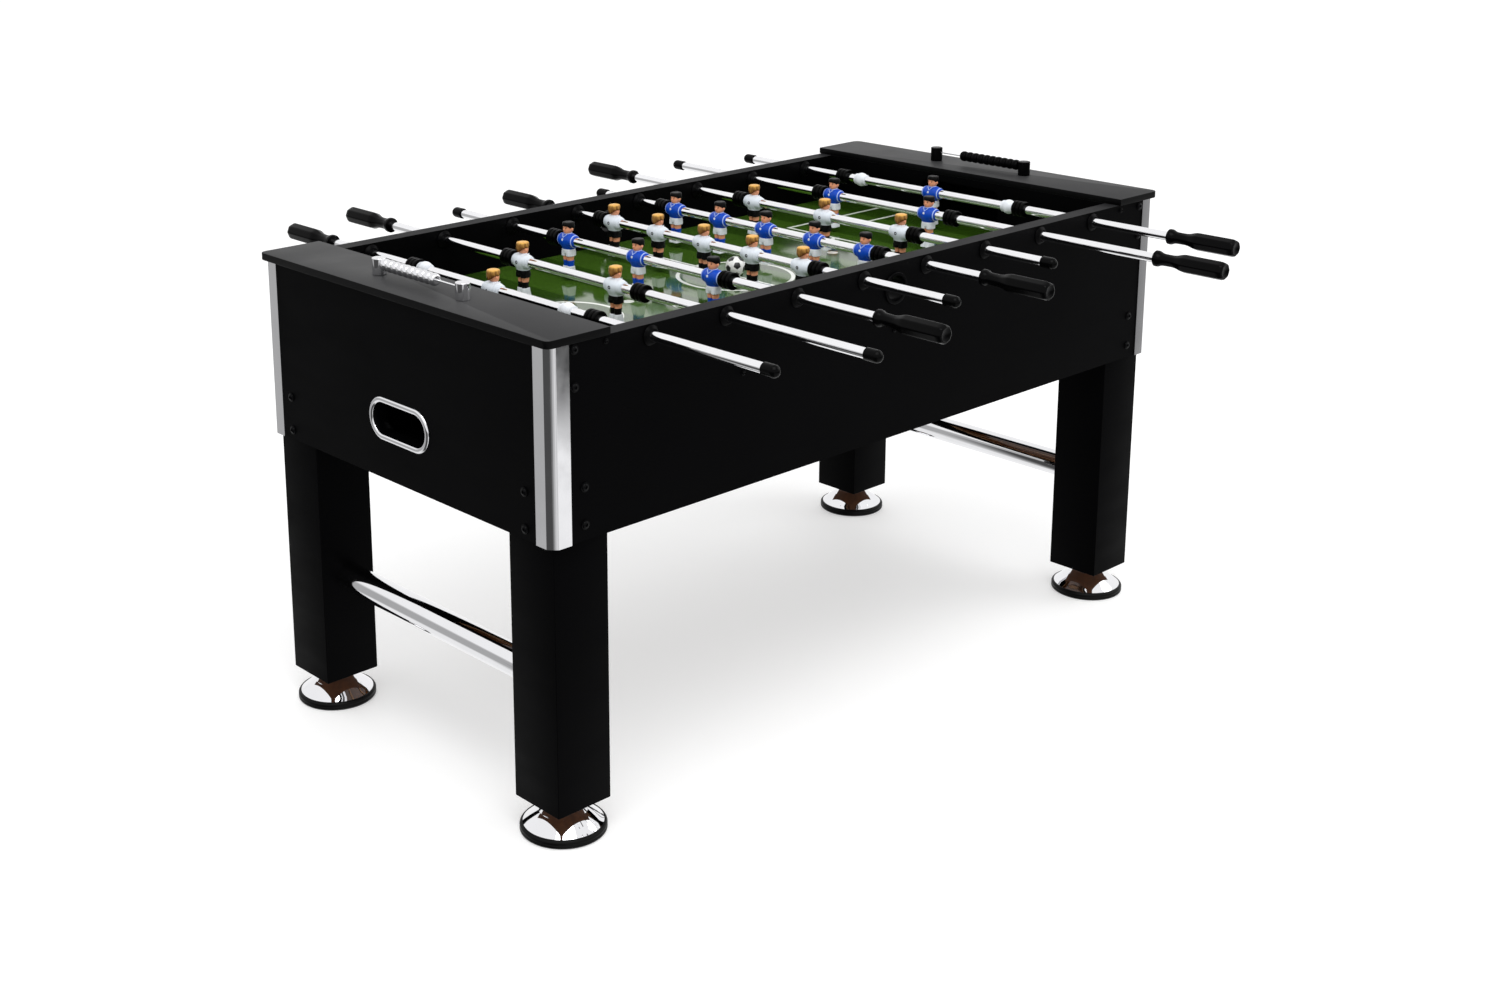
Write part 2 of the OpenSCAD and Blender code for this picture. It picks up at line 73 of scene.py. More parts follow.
ROD_X = {i: centre(f"rod_{i}_tube").x for i in RODS}
ROD_Z = centre("rod_1_tube").z
ROD_R = (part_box("rod_1_tube")[1].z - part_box("rod_1_tube")[0].z) / 2
FIELD_LO, FIELD_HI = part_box("playfield")
WALL_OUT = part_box("side_panel_far")[1].y
WALL_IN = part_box("side_panel_far")[0].y
PANEL_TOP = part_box("side_panel_far")[1].z
END_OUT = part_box("end_panel_right")[1].x
BOARD_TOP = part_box("top_board_right")[1].z
LEG_X = centre("leg_near_right").x
LEG_Y = centre("leg_far_right").y


def men_places(i):
    """Y of the men on rod i, spread evenly over the CAD node's length."""
    lo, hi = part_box(f"rod_{i}_men")
    n = MEN_ON_ROD[i]
    if n == 1:
        return [0.0]
    half = (hi.y - lo.y - MAN_W) / 2
    return [-half + 2 * half * k / (n - 1) for k in range(n)]


# ---------------------------------------------------------------- materials

class Wiring:
    """Short names for building a node tree; its values are sockets."""

    def __init__(self, tree):
        self.nodes = tree.nodes
        self.links = tree.links

    def link(self, a, b):
        self.links.new(a, b)

    def spread(self, fac, low, high, lo_in=0.3, hi_in=0.7):
        n = self.nodes.new("ShaderNodeMapRange")
        n.inputs["From Min"].default_value = lo_in
        n.inputs["From Max"].default_value = hi_in
        n.inputs["To Min"].default_value = low
        n.inputs["To Max"].default_value = high
        self.link(fac, n.inputs["Value"])
        return n.outputs["Result"]

    def math(self, op, a, b=None, clamp=False):
        n = self.nodes.new("ShaderNodeMath")
        n.operation = op
        n.use_clamp = clamp
        for k, v in enumerate((a, b)):
            if v is None:
                continue
            if isinstance(v, (int, float)):
                n.inputs[k].default_value = v
            else:
                self.link(v, n.inputs[k])
        return n.outputs[0]

    def mix(self, fac, a, b):
        n = self.nodes.new("ShaderNodeMix")
        n.data_type = "RGBA"
        for socket, v in (("A", a), ("B", b)):
            target = [s for s in n.inputs if s.name == socket and s.type == "RGBA"][0]
            if isinstance(v, tuple):
                target.default_value = (*v, 1)
            else:
                self.link(v, target)
        self.link(fac, n.inputs["Factor"])
        return [s for s in n.outputs if s.type == "RGBA"][0]

    def xyz(self, vector):
        n = self.nodes.new("ShaderNodeSeparateXYZ")
        self.link(vector, n.inputs[0])
        return n.outputs


class Paint(Wiring):
    """A material: the shader, and places and normals in the object's own axes."""

    def __init__(self, name):
        self.mat = bpy.data.materials.new(name)
        self.mat.use_nodes = True
        super().__init__(self.mat.node_tree)
        self.shader = self.nodes["Principled BSDF"]
        where = self.nodes.new("ShaderNodeTexCoord")
        self.place = where.outputs["Object"]
        self.normal = where.outputs["Normal"]

    def set(self, **values):
        """Sets uniform values on the shader, by socket name with _ for a space."""
        for key, value in values.items():
            self.shader.inputs[key.replace("_", " ")].default_value = value
        return self

    def noise(self, scale, detail=3.0, stretch=(1, 1, 1)):
        where = self.nodes.new("ShaderNodeMapping")
        where.inputs["Scale"].default_value = stretch
        self.link(self.place, where.inputs["Vector"])
        n = self.nodes.new("ShaderNodeTexNoise")
        n.inputs["Scale"].default_value = scale
        n.inputs["Detail"].default_value = detail
        self.link(where.outputs["Vector"], n.inputs["Vector"])
        return n.outputs["Fac"]

    def color(self, socket):
        self.link(socket, self.shader.inputs["Base Color"])

    def bump(self, height, distance, strength):
        n = self.nodes.new("ShaderNodeBump")
        n.inputs["Strength"].default_value = strength
        n.inputs["Distance"].default_value = distance
        self.link(height, n.inputs["Height"])
        self.link(n.outputs["Normal"], self.shader.inputs["Normal"])

    def rough(self, low, high, scale):
        """Roughness that wanders between two values."""
        self.link(self.spread(self.noise(scale, 5.0), low, high), self.shader.inputs["Roughness"])

    def facing_up(self):
        """1 on faces that look up, 0 on the others."""
        return self.math("GREATER_THAN", self.xyz(self.normal)[2], 0.6)


def laminate(name, side, top, specular):
    """Foil-covered board: side colour, top faces painted lighter as painted light from above, fine emboss and
    handling marks.
    """
    p = Paint(name)
    up = p.facing_up()
    cloud = p.spread(p.noise(3.0, 4.0), 0.0, 1.0)
    # Painted light: faces that look up get a lighter copy of the foil colour than the sides, with random tone
    # in both.
    lit_top = p.mix(cloud, tuple(c * 0.85 for c in top), tuple(c * 1.12 for c in top))
    dark = p.mix(cloud, tuple(c * 0.8 for c in side), tuple(c * 1.25 for c in side))
    p.color(p.mix(up, dark, lit_top))
    marks = p.noise(9.0, 6.0, (1, 1, 3))
    low = p.spread(marks, 0.38, 0.50)
    high = p.spread(marks, 0.42, 0.52)
    blend = p.nodes.new("ShaderNodeMix")
    p.link(up, blend.inputs[0])
    p.link(low, blend.inputs[2])
    p.link(high, blend.inputs[3])
    p.link(blend.outputs[0], p.shader.inputs["Roughness"])
    p.bump(p.noise(1400.0, 2.0), 0.00012, 0.35)
    return p.set(Specular_IOR_Level=specular).mat


def plain(name, color, rough, metal=0.0, specular=0.5, coat=0.0, grain=900.0, depth=0.00005,
          wear_scale=25.0, shade=0.12, glow=0.0):
    """Moulded or plated surface with small changes of tone and gloss and a fine grain."""
    p = Paint(name)
    tone = p.spread(p.noise(wear_scale, 5.0), 0.0, 1.0)
    dark = tuple(c * (1 - shade) for c in color)
    light = tuple(min(1.0, c * (1 + shade)) for c in color)
    p.color(p.mix(tone, dark, light))
    p.rough(*rough, wear_scale)
    p.bump(p.noise(grain, 3.0), depth, 0.4)
    p.set(Emission_Color=(1, 1, 1, 1), Emission_Strength=glow)
    return p.set(Metallic=metal, Specular_IOR_Level=specular, Coat_Weight=coat, Coat_Roughness=0.08).mat


def brushed_chrome(name, color=(0.86, 0.86, 0.88), rough=(0.03, 0.09), stretch=(1, 1, 1), depth=0.000004):
    """Polished plating with faint drawing lines; stretch is small along the lines."""
    p = Paint(name)
    p.rough(*rough, 30.0)
    p.bump(p.noise(300.0, 2.0, stretch), depth, 0.25)
    tone = p.spread(p.noise(14.0, 4.0), 0.0, 1.0)
    p.color(p.mix(tone, tuple(c * 0.95 for c in color), color))
    return p.set(Metallic=1.0).mat


def painted_hair(name, light, dark, specular):
    """Painted hair with painted light: lighter on top as if lit from above, painted shade at the nape, and
    fine combed lines.
    """
    p = Paint(name)
    # Painted light: upward normals take the lit colour, sideways and downward ones the painted shade colour.
    lit_from_above = p.spread(p.xyz(p.normal)[2], 0.0, 1.0, -0.25, 0.75)
    lock = p.spread(p.noise(260.0, 3.0, (1, 1, 0.4)), -0.3, 0.3)
    p.color(p.mix(p.math("ADD", lit_from_above, lock, clamp=True), dark, light))
    p.rough(0.3, 0.5, 160.0)
    p.bump(p.noise(500.0, 3.0, (1, 1, 0.3)), 0.0004, 0.5)
    return p.set(Specular_IOR_Level=specular).mat


def wood(name):
    """Planed pine with growth rings and pores."""
    p = Paint(name)
    rings = p.nodes.new("ShaderNodeTexWave")
    rings.inputs["Scale"].default_value = 9.0
    rings.inputs["Distortion"].default_value = 5.0
    rings.inputs["Detail"].default_value = 3.0
    where = p.nodes.new("ShaderNodeMapping")
    where.inputs["Scale"].default_value = (0.6, 3.0, 3.0)
    p.link(p.place, where.inputs["Vector"])
    p.link(where.outputs["Vector"], rings.inputs["Vector"])
    p.color(p.mix(rings.outputs["Fac"], (0.24, 0.13, 0.06), (0.13, 0.065, 0.03)))
    p.rough(0.55, 0.75, 40.0)
    p.bump(p.noise(350.0, 4.0, (0.1, 1, 1)), 0.0002, 0.5)
    return p.mat


FIBREBOARD = (0.060, 0.022, 0.008)


def turf(name):
    """Glossy printed pitch: mown stripes, white markings, film ripple."""
    p = Paint(name)
    x, y, _ = p.xyz(p.place)
    ax = p.math("ABSOLUTE", x)
    ay = p.math("ABSOLUTE", y)
    half_line, soft = 0.0034, 0.0006

    def edge(distance):
        """1 on a line along distance = 0."""
        away = p.math("ABSOLUTE", distance)
        return p.math("DIVIDE", p.math("SUBTRACT", half_line + soft, away), 2 * soft, clamp=True)

    def inside(a, limit):
        return p.math("LESS_THAN", a, limit)

    def both(a, b):
        return p.math("MULTIPLY", a, b)

    def range_from(cx, cy):
        """Distance from a point, mirrored into all four quarters."""
        dx = p.math("SUBTRACT", ax, cx)
        dy = p.math("SUBTRACT", ay, cy)
        return p.math("SQRT", p.math("ADD", both(dx, dx), both(dy, dy)))

    def circle(cx, cy, radius):
        return edge(p.math("SUBTRACT", range_from(cx, cy), radius))

    def goal_area(front, half):
        side = both(edge(p.math("SUBTRACT", ay, half)), p.math("GREATER_THAN", ax, front - half_line))
        end = both(edge(p.math("SUBTRACT", ax, front)), inside(ay, half + half_line))
        return p.math("MAXIMUM", side, end)

    middle_r, corner_r, kickoff_r, spot_r = 0.102, 0.035, 0.009, 0.010
    penalty_x, penalty_y, spot_x = 0.348, 0.200, 0.254
    goal_x, goal_y = 0.490, 0.131
    arc_x, arc_r = 0.394, 0.094
    marks = [
        edge(x),
        circle(0.0, 0.0, middle_r),
        inside(range_from(0.0, 0.0), kickoff_r),
        goal_area(penalty_x, penalty_y),
        goal_area(goal_x, goal_y),
        inside(range_from(spot_x, 0.0), spot_r),
        both(circle(arc_x, 0.0, arc_r), inside(ax, penalty_x)),
        circle(FIELD_HI.x, WALL_IN, corner_r),
    ]
    white = marks[0]
    for m in marks[1:]:
        white = p.math("MAXIMUM", white, m)
    rod_pitch = ROD_X[2] - ROD_X[1]
    stripe = p.math("GREATER_THAN", p.math("SINE", p.math("MULTIPLY", x, TAU / rod_pitch)), 0.0)
    blades = p.noise(420.0, 4.0, (1, 0.5, 1))
    light = p.mix(p.spread(blades, 0.0, 1.0), (0.028, 0.074, 0.006), (0.054, 0.120, 0.012))
    dark = p.mix(p.spread(blades, 0.0, 1.0), (0.015, 0.042, 0.003), (0.030, 0.076, 0.006))
    grass = p.mix(stripe, dark, light)
    top = p.mix(white, grass, (0.78, 0.80, 0.76))
    p.color(p.mix(p.facing_up(), FIBREBOARD, top))
    p.rough(0.05, 0.12, 4.0)
    p.bump(p.noise(14.0, 3.0), 0.0006, 0.10)
    return p.set(Specular_IOR_Level=0.6, Coat_Weight=0.15, Coat_Roughness=0.04).mat


# The top colour of each foil is painted light: tops painted lighter than the black sides, as lit from above.
PANEL = laminate("black_laminate", (0.0009, 0.0009, 0.0011), (0.019, 0.019, 0.020), specular=0.02)
BOARD = laminate("charcoal_laminate", (0.0009, 0.0009, 0.0011), (0.034, 0.034, 0.035), specular=0.07)
TURF = turf("pitch")
PINE = wood("pine")
TRIM_CHROME = brushed_chrome("trim_chrome", rough=(0.05, 0.14), stretch=(2, 2, 0.01), depth=0.0002)
BAR_CHROME = brushed_chrome("bar_chrome", rough=(0.03, 0.08), stretch=(2, 0.05, 2), depth=0.00001)
DOME_CHROME = brushed_chrome("dome_chrome", rough=(0.02, 0.06))
ROD_CHROME = brushed_chrome("rod_chrome", (0.92, 0.92, 0.94), (0.05, 0.12), (8, 0.2, 8))
PLATED = brushed_chrome("plated_plastic", (0.82, 0.82, 0.84), (0.06, 0.13))
BLACK_PLASTIC = plain("black_plastic", (0.0010, 0.0010, 0.0012), (0.20, 0.32), specular=0.04)
GRIP = plain("grip_plastic", (0.0010, 0.0010, 0.0011), (0.16, 0.26), specular=0.055, grain=1500.0,
             depth=0.0001)
RUBBER = plain("bumper_rubber", (0.0008, 0.0008, 0.0008), (0.16, 0.26), specular=0.045, grain=1200.0)
FOOT_RUBBER = plain("foot_rubber", (0.0025, 0.0025, 0.0025), (0.35, 0.5), specular=0.10)
BLACK_STEEL = plain("black_steel", (0.0015, 0.0015, 0.0018), (0.14, 0.24), specular=0.07)
STEEL = plain("screw_steel", (0.10, 0.10, 0.11), (0.3, 0.45), metal=1.0)
BALL_WHITE = plain("ball_white", (0.80, 0.80, 0.78), (0.22, 0.4), coat=0.2, wear_scale=90.0, shade=0.06)
BALL_BLACK = plain("ball_black", (0.008, 0.008, 0.008), (0.25, 0.4), coat=0.2)
SHIRT_WHITE = plain("shirt_white", (0.66, 0.71, 0.77), (0.28, 0.42), coat=0.15, wear_scale=120.0,
                    shade=0.05)
SHIRT_BLUE = plain("shirt_blue", (0.001, 0.055, 0.44), (0.28, 0.42), specular=0.2, coat=0.1,
                   wear_scale=120.0, shade=0.10)
TRIM_BLUE = plain("trim_pale_blue", (0.36, 0.46, 0.78), (0.28, 0.42), specular=0.3, wear_scale=120.0)
PAINT_BLACK = plain("paint_black", (0.0022, 0.0022, 0.0026), (0.3, 0.45), specular=0.15, wear_scale=120.0)
PAINT_WHITE = plain("paint_white", (0.72, 0.75, 0.79), (0.28, 0.42), coat=0.15, wear_scale=120.0,
                    shade=0.05)
SKIN = plain("skin", (0.72, 0.31, 0.17), (0.32, 0.48), specular=0.3, wear_scale=150.0, shade=0.12)
# Each hair gets a lit colour for the top and a painted shade colour for the nape.
BLOND = painted_hair("hair_blond", (0.68, 0.37, 0.08), (0.11, 0.038, 0.008), 0.2)
DARK_HAIR = painted_hair("hair_black", (0.004, 0.0035, 0.0035), (0.0015, 0.0015, 0.0015), 0.08)
LIPS = plain("lips", (0.42, 0.12, 0.09), (0.35, 0.45), wear_scale=200.0)
RAW_BOARD = plain("raw_fibreboard", FIBREBOARD, (0.7, 0.85), specular=0.2, grain=700.0, depth=0.0003,
                  wear_scale=60.0, shade=0.25)
FLOOR = plain("studio_floor", (0.70, 0.70, 0.70), (0.6, 0.7), grain=60.0, wear_scale=2.0, shade=0.01,
              glow=0.36)


# ---------------------------------------------------------------- mesh building

def piece(name, bm, materials, body, replaces=(), at=None, turn=0.0, sharp=32.0):
    """Object from bm or a finished mesh, riding on body and standing in for CAD nodes."""
    mesh = bm if isinstance(bm, bpy.types.Mesh) else finish_mesh(name, bm, materials, sharp)
    obj = bpy.data.objects.new(name, mesh)
    bpy.context.scene.collection.objects.link(obj)
    if at is not None:
        obj.matrix_world = Matrix.Translation(at) @ Matrix.Rotation(turn, 4, "Z")
    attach(obj, body)
    if replaces:
        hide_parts(*replaces)
    return obj


def finish_mesh(name, bm, materials, sharp):
    """Mesh from bm (freed), smooth but for edges above the angle in degrees."""
    bmesh.ops.remove_doubles(bm, verts=bm.verts, dist=1e-7)
    bmesh.ops.recalc_face_normals(bm, faces=bm.faces)
    limit = math.radians(sharp)
    for f in bm.faces:
        f.smooth = True
    for e in bm.edges:
        if len(e.link_faces) == 2 and e.calc_face_angle(0.0) > limit:
            e.smooth = False
    mesh = bpy.data.meshes.new(name)
    bm.to_mesh(mesh)
    bm.free()
    for m in materials:
        mesh.materials.append(m)
    return mesh


def add_loft(bm, rings, material=0, closed=False):
    """Skins rings of equally many points, in metres. The ends are capped, or joined if closed."""
    rows = [[bm.verts.new(p) for p in ring] for ring in rings]
    n = len(rows[0])
    pairs = list(zip(rows, rows[1:])) + ([(rows[-1], rows[0])] if closed else [])
    for a, b in pairs:
        for k in range(n):
            f = bm.faces.new((a[k], a[(k + 1) % n], b[(k + 1) % n], b[k]))
            f.material_index = material
    if not closed:
        for row in (rows[0], rows[-1]):
            f = bm.faces.new(row)
            f.material_index = material


def fillet(points, radius, steps=4):
    """Rounds the inner corners of an open profile."""
    out = [Vector(points[0])]
    for a, b, c in zip(points, points[1:], points[2:]):
        a, b, c = Vector(a), Vector(b), Vector(c)
        u, v = (a - b), (c - b)
        r = min(radius, u.length * 0.45, v.length * 0.45)
        p, q = b + u.normalized() * r, b + v.normalized() * r
        for k in range(steps + 1):
            t = k / steps
            out.append((1 - t) ** 2 * p + 2 * t * (1 - t) * b + t * t * q)
    out.append(Vector(points[-1]))
    return out


def add_lathe(bm, profile, at, axis="Y", segments=48, material=0, closed=False, flip=1):
    """Turns a profile of (along, radius) in mm round an axis through at."""
    rings = []
    for along, radius in profile:
        ring = []
        for k in range(segments):
            t = TAU * k / segments
            c, s = max(radius, 1e-4) * math.cos(t), max(radius, 1e-4) * math.sin(t)
            d = along * flip
            v = {"X": (d, c, s), "Y": (c, d, s), "Z": (c, s, d)}[axis]
            ring.append(Vector(at) + Vector(v) * MM)
        rings.append(ring)
    add_loft(bm, rings, material, closed)


def bar_profile(start, end, radius, edge, steps=3):
    """Profile in mm of a solid bar between two places along its axis, with eased ends."""
    return fillet([(start, 0), (start, radius), (end, radius), (end, 0)], edge, steps)


def round_edges(bm, edges, radius):
    """Eases edges; the radius is in metres."""
    bmesh.ops.bevel(bm, geom=edges, offset=radius, segments=3, profile=0.5, affect="EDGES")


def oval(cx, cy, z, rx, ry, n=2.0, segments=36):
    """Superellipse ring in the XY plane, in mm."""
    ring = []
    for k in range(segments):
        t = TAU * k / segments
        c, s = math.cos(t), math.sin(t)
        x = cx + rx * math.copysign(abs(c) ** (2 / n), c)
        y = cy + ry * math.copysign(abs(s) ** (2 / n), s)
        ring.append(Vector((x, y, z)) * MM)
    return ring


def add_stack(bm, sections, cy=0.0, material=0, segments=36):
    """Loft along Z through sections (z, cx, rx, ry, n), smoothly interpolated."""
    rings = []
    count = len(sections)
    steps, least = 3, 0.05
    for i in range(count - 1):
        p0, p1 = sections[max(i - 1, 0)], sections[i]
        p2, p3 = sections[i + 1], sections[min(i + 2, count - 1)]
        for k in range(steps):
            t = k / steps
            row = [0.5 * (2 * b + (c - a) * t + (2 * a - 5 * b + 4 * c - d) * t * t
                          + (3 * b - 3 * c + d - a) * t ** 3) for a, b, c, d in zip(p0, p1, p2, p3)]
            rings.append(row)
    rings.append(sections[-1])
    add_loft(bm, [oval(cx, cy, z, max(rx, least), max(ry, least), n, segments) for z, cx, rx, ry, n in rings],
             material)


def add_ball(bm, at, radii, material=0, rows=10, segments=20):
    """Ellipsoid in mm."""
    rings = []
    for k in range(rows + 1):
        a = -math.pi / 2 + math.pi * k / rows
        r = max(math.cos(a), 0.02)
        rings.append(oval(at[0], at[1], at[2] + radii[2] * math.sin(a), radii[0] * r, radii[1] * r,
                          2.0, segments))
    add_loft(bm, rings, material)


def repaint(material, *nodes):
    """Gives carried-over CAD nodes their material."""
    for n in nodes:
        slots = NODES[n].data.materials
        slots.clear()
        slots.append(material)


# ---------------------------------------------------------------- cabinet

def top_boards():
    """Boards with rounded corners and eased edges."""
    for side in ("left", "right"):
        lo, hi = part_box(f"top_board_{side}")
        s = 1 if side == "right" else -1
        r = 10 * MM
        inner = lo.x if s > 0 else hi.x
        outer = hi.x if s > 0 else lo.x
        outline = [(inner, lo.y)]
        for cy, start in ((lo.y + r, -math.pi / 2), (hi.y - r, 0.0)):
            for k in range(9):
                a = start + math.pi / 2 * k / 8
                outline.append((outer - s * r + s * r * math.cos(a), cy + r * math.sin(a)))
        outline.append((inner, hi.y))
        bm = bmesh.new()
        low = [bm.verts.new((x, y, lo.z)) for x, y in outline]
        high = [bm.verts.new((x, y, hi.z)) for x, y in outline]
        n = len(outline)
        for k in range(n):
            bm.faces.new((low[k], low[(k + 1) % n], high[(k + 1) % n], high[k]))
        bm.faces.new(low)
        bm.faces.new(high)
        level = [e for e in bm.edges if abs(e.verts[0].co.z - e.verts[1].co.z) < 1e-6]
        round_edges(bm, level, 0.8 * MM)
        piece(f"board_{side}", bm, [BOARD], "cabinet", [f"top_board_{side}"], sharp=50)


def legs():
    """Square legs with eased edges and a bare underside."""
    for corner in CORNERS:
        lo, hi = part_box(f"leg_{corner}")
        bm = bmesh.new()
        bmesh.ops.create_cube(bm, size=1.0)
        for v in bm.verts:
            v.co = Vector(lo[k] if v.co[k] < 0 else hi[k] for k in range(3))
        round_edges(bm, bm.edges[:], 1.0 * MM)
        for f in bm.faces:
            f.normal_update()
            if f.normal.z < -0.9:
                f.material_index = 1
        skin = [PANEL, RAW_BOARD]
        piece(f"leg_{corner}_skin", bm, skin, "cabinet", [f"leg_{corner}"], sharp=50)


def cross_bars():
    """Polished round tubes between the legs of each end."""
    lo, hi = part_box("leg_cross_bars")
    radius = (hi.z - lo.z) / 2 / MM
    length = (hi.y - lo.y) / MM
    bm = bmesh.new()
    for x in (lo.x + radius * MM, hi.x - radius * MM):
        at = (x, lo.y, (lo.z + hi.z) / 2)
        add_lathe(bm, bar_profile(0, length, radius, 0.6), at, segments=96)
    piece("cross_bars", bm, [BAR_CHROME], "cabinet", ["leg_cross_bars"])


def corner_trims():
    """Folded strips: two flanges and a slightly bulged chamfer with rounded folds."""
    lo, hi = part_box("corner_trims")
    hx, hy = END_OUT / MM, WALL_OUT / MM
    thick, gap, swell = 1.5, 0.02, 0.8
    cut, flange = 12.0, 35.0
    outer_cut = cut - thick * math.tan(math.radians(22.5))
    steps = 6
    outer = fillet([(hx - flange, hy + thick), (hx - outer_cut, hy + thick),
                    (hx + thick, hy - outer_cut), (hx + thick, hy - flange)], 1.0, steps)
    inner = fillet([(hx + gap, hy - flange), (hx + gap, hy - cut),
                    (hx - cut, hy + gap), (hx - flange, hy + gap)], 1.5, steps)
    start, end = outer[steps + 1], outer[steps + 2]
    out = Vector((1, 1)).normalized()
    bulge = [start.lerp(end, j / 8) + out * (swell * (1 - (j / 4 - 1) ** 2)) for j in range(1, 8)]
    ring = outer[:steps + 2] + bulge + outer[steps + 2:] + inner
    bm = bmesh.new()
    for sx in (-1, 1):
        for sy in (-1, 1):
            rows = [[Vector((sx * p.x, sy * p.y, z / MM)) * MM for p in ring] for z in (lo.z, hi.z)]
            add_loft(bm, rows)
    piece("trims", bm, [TRIM_CHROME], "cabinet", ["corner_trims"], sharp=25)


def bolt_head(bm, at, axis, side, radius):
    """Washer and domed head with a socket, on the +1 or -1 side of a panel across the axis."""
    thick, rise = 1.5, 3.0
    washer = fillet([(0, 0), (0, radius + thick), (thick, radius + thick), (thick, radius)], 0.4, 2)
    dome = [(thick + rise * math.sin(a), radius * math.cos(a) * 0.98)
            for a in (math.pi / 2 * k / 8 for k in range(6))]
    socket = [(4.2, radius * 0.40), (2.4, radius * 0.38), (2.2, 0)]
    add_lathe(bm, washer + dome + socket, at, axis, 24, flip=side)


def fasteners():
    """Bolts of the panel joints and legs, and the small screws of the field and goal walls."""
    bm = bmesh.new()
    joint_x = END_OUT - 45 * MM
    leg_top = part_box("leg_near_left")[1].z
    for sx in (-1, 1):
        for sy in (-1, 1):
            for drop in JOINT_BOLTS:
                bolt_head(bm, (sx * joint_x, sy * WALL_OUT, PANEL_TOP - drop), "Y", sy, BOLT_R)
            for drop in LEG_SIDE_BOLTS:
                bolt_head(bm, (sx * LEG_X, sy * WALL_OUT, leg_top - drop), "Y", sy, BOLT_R)
            for drop in LEG_END_BOLTS:
                bolt_head(bm, (sx * END_OUT, sy * LEG_Y, leg_top - drop), "X", sx, BOLT_R)
            goal_screw = (sx * (FIELD_HI.x + 6 * MM), sy * WALL_OUT, PANEL_TOP - 9 * MM)
            bolt_head(bm, goal_screw, "Y", sy, SCREW_R)
    for x in FIELD_SCREWS:
        for sy in (-1, 1):
            bolt_head(bm, (x, sy * WALL_OUT, FIELD_LO.z - 12 * MM), "Y", sy, SCREW_R)
    piece("bolt_heads", bm, [BLACK_STEEL], "cabinet", ["cabinet_fasteners"])


def bearings():
    """Flanged bushes with rounded rims and a dished mouth."""
    bm = bmesh.new()
    wall = (WALL_OUT - WALL_IN) / MM
    bore = ROD_R / MM + 0.05
    flange = (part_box("rod_bearings")[1].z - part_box("rod_bearings")[0].z) / 2 / MM
    body, out, lip, mouth = 12.0, 6.0, 1.5, bore + 3
    inside = [(-out, bore), (-out, mouth), (-lip, flange), (0, flange), (0, body)]
    outside = [(wall - along, radius) for along, radius in reversed(inside)]
    profile = fillet(inside + outside, 1.2)
    for i in RODS:
        for s in (-1, 1):
            add_lathe(bm, profile, (ROD_X[i], s * WALL_IN, ROD_Z), closed=True, flip=s)
    piece("bushes", bm, [BLACK_PLASTIC], "cabinet", ["rod_bearings"])


def return_rims():
    """Rims round the ball return openings: a half-round chrome face and a black sleeve behind it."""
    lo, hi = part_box("ball_return_rims")
    half_w, half_h = (hi.y - lo.y) / 2 / MM, (hi.z - lo.z) / 2 / MM
    flat = half_w - half_h
    face, mid_z = END_OUT / MM, (lo.z + hi.z) / 2 / MM
    sleeve, gap, rise, round_w = 24.0, 0.01, 3.0, 4.75
    opening, sleeve_in = 2 * round_w, 7.2
    section = [(-sleeve, opening), (-sleeve, sleeve_in), (gap, sleeve_in), (gap, 0)]
    for k in range(1, 10):
        a = math.pi * k / 10
        section.append((rise * math.sin(a), round_w - round_w * math.cos(a)))
    bm = bmesh.new()
    for s in (-1, 1):
        rings = []
        for out, inset in section:
            end_r = half_h - inset
            ring = []
            for k in range(64):
                t = TAU * k / 64
                y = math.copysign(flat, math.cos(t)) + end_r * math.cos(t)
                ring.append(Vector((s * (face + out), y, mid_z + end_r * math.sin(t))) * MM)
            rings.append(ring)
        add_loft(bm, rings, closed=True)
    for f in bm.faces:
        if abs(f.calc_center_median().x) < END_OUT - 1 * MM:
            f.material_index = 1
    piece("return_rims", bm, [PLATED, BLACK_PLASTIC], "cabinet", ["ball_return_rims"],
          sharp=40)


def entry_cups():
    """Sleeves through the side panels at the ball entries, with a lip outside."""
    bm = bmesh.new()
    z = centre("ball_entry_cups").z
    wall = (WALL_OUT - WALL_IN) / MM
    lip, bore, sleeve, lip_r = 3, 21.5, 24, 27.5
    profile = fillet([(0, bore), (0, sleeve), (wall, sleeve), (wall, lip_r), (wall + lip, lip_r - 1),
                      (wall + lip, bore)], 0.8, 3)
    for s in (-1, 1):
        add_lathe(bm, profile, (0, s * WALL_IN, z), segments=64, closed=True, flip=s)
    piece("entry_sleeves", bm, [BLACK_PLASTIC], "cabinet", ["ball_entry_cups"])


